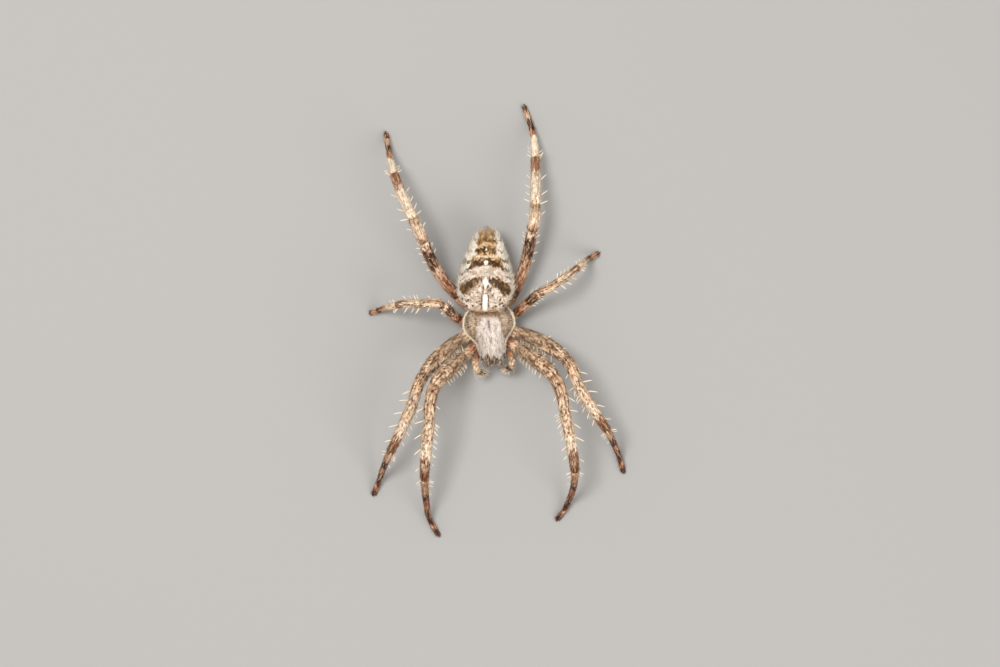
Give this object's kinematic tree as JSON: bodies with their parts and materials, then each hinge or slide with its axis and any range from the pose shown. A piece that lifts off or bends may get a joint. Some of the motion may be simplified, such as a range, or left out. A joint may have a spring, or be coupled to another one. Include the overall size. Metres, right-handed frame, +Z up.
{
  "type": "orb weaver spider model",
  "caption": "Life-size still model of a pale cross orb weaver spider, standing with its front legs stretched ahead and its hind legs behind, and a white cross on its abdomen.",
  "frame": {"origin": "on the floor, under the middle of the bounding box of the whole spider", "axes": "-Y towards the head, +X towards the spider's left, +Z up"},
  "size_m": [0.0224, 0.0378, 0.0073],
  "materials": {
    "carapace_hair": "grey-cream cuticle under dense white lying hair",
    "abdomen_skin": "soft cream skin with brown bands, a white cross and short bristles",
    "belly_cuticle": "dark brown, short-haired underside",
    "leg_cuticle": "cream and brown ringed cuticle with hair and pale spines",
    "jaw_cuticle": "hard dark brown cuticle, slightly glossy",
    "eye_lens": "glossy black-brown lens"
  },
  "bodies": {
    "root": {"carapace": "carapace_hair", "sternum": "belly_cuticle", "mouthparts": "belly_cuticle", "pedicel": "belly_cuticle", "abdomen": "abdomen_skin", "spinnerets": "belly_cuticle", "eye_front_middle_left": "eye_lens", "eye_rear_middle_left": "eye_lens", "eye_front_side_left": "eye_lens", "eye_rear_side_left": "eye_lens", "chelicera_left": "jaw_cuticle", "fang_left": "jaw_cuticle", "pedipalp_left": "leg_cuticle", "eye_front_middle_right": "eye_lens", "eye_rear_middle_right": "eye_lens", "eye_front_side_right": "eye_lens", "eye_rear_side_right": "eye_lens", "chelicera_right": "jaw_cuticle", "fang_right": "jaw_cuticle", "pedipalp_right": "leg_cuticle", "leg1_left_coxa": "leg_cuticle", "leg1_left_femur": "leg_cuticle", "leg1_left_patella": "leg_cuticle", "leg1_left_tibia": "leg_cuticle", "leg1_left_foot": "leg_cuticle", "leg1_right_coxa": "leg_cuticle", "leg1_right_femur": "leg_cuticle", "leg1_right_patella": "leg_cuticle", "leg1_right_tibia": "leg_cuticle", "leg1_right_foot": "leg_cuticle", "leg2_left_coxa": "leg_cuticle", "leg2_left_femur": "leg_cuticle", "leg2_left_patella": "leg_cuticle", "leg2_left_tibia": "leg_cuticle", "leg2_left_foot": "leg_cuticle", "leg2_right_coxa": "leg_cuticle", "leg2_right_femur": "leg_cuticle", "leg2_right_patella": "leg_cuticle", "leg2_right_tibia": "leg_cuticle", "leg2_right_foot": "leg_cuticle", "leg3_left_coxa": "leg_cuticle", "leg3_left_femur": "leg_cuticle", "leg3_left_patella": "leg_cuticle", "leg3_left_tibia": "leg_cuticle", "leg3_left_foot": "leg_cuticle", "leg3_right_coxa": "leg_cuticle", "leg3_right_femur": "leg_cuticle", "leg3_right_patella": "leg_cuticle", "leg3_right_tibia": "leg_cuticle", "leg3_right_foot": "leg_cuticle", "leg4_left_coxa": "leg_cuticle", "leg4_left_femur": "leg_cuticle", "leg4_left_patella": "leg_cuticle", "leg4_left_tibia": "leg_cuticle", "leg4_left_foot": "leg_cuticle", "leg4_right_coxa": "leg_cuticle", "leg4_right_femur": "leg_cuticle", "leg4_right_patella": "leg_cuticle", "leg4_right_tibia": "leg_cuticle", "leg4_right_foot": "leg_cuticle"}
  },
  "joints": []
}
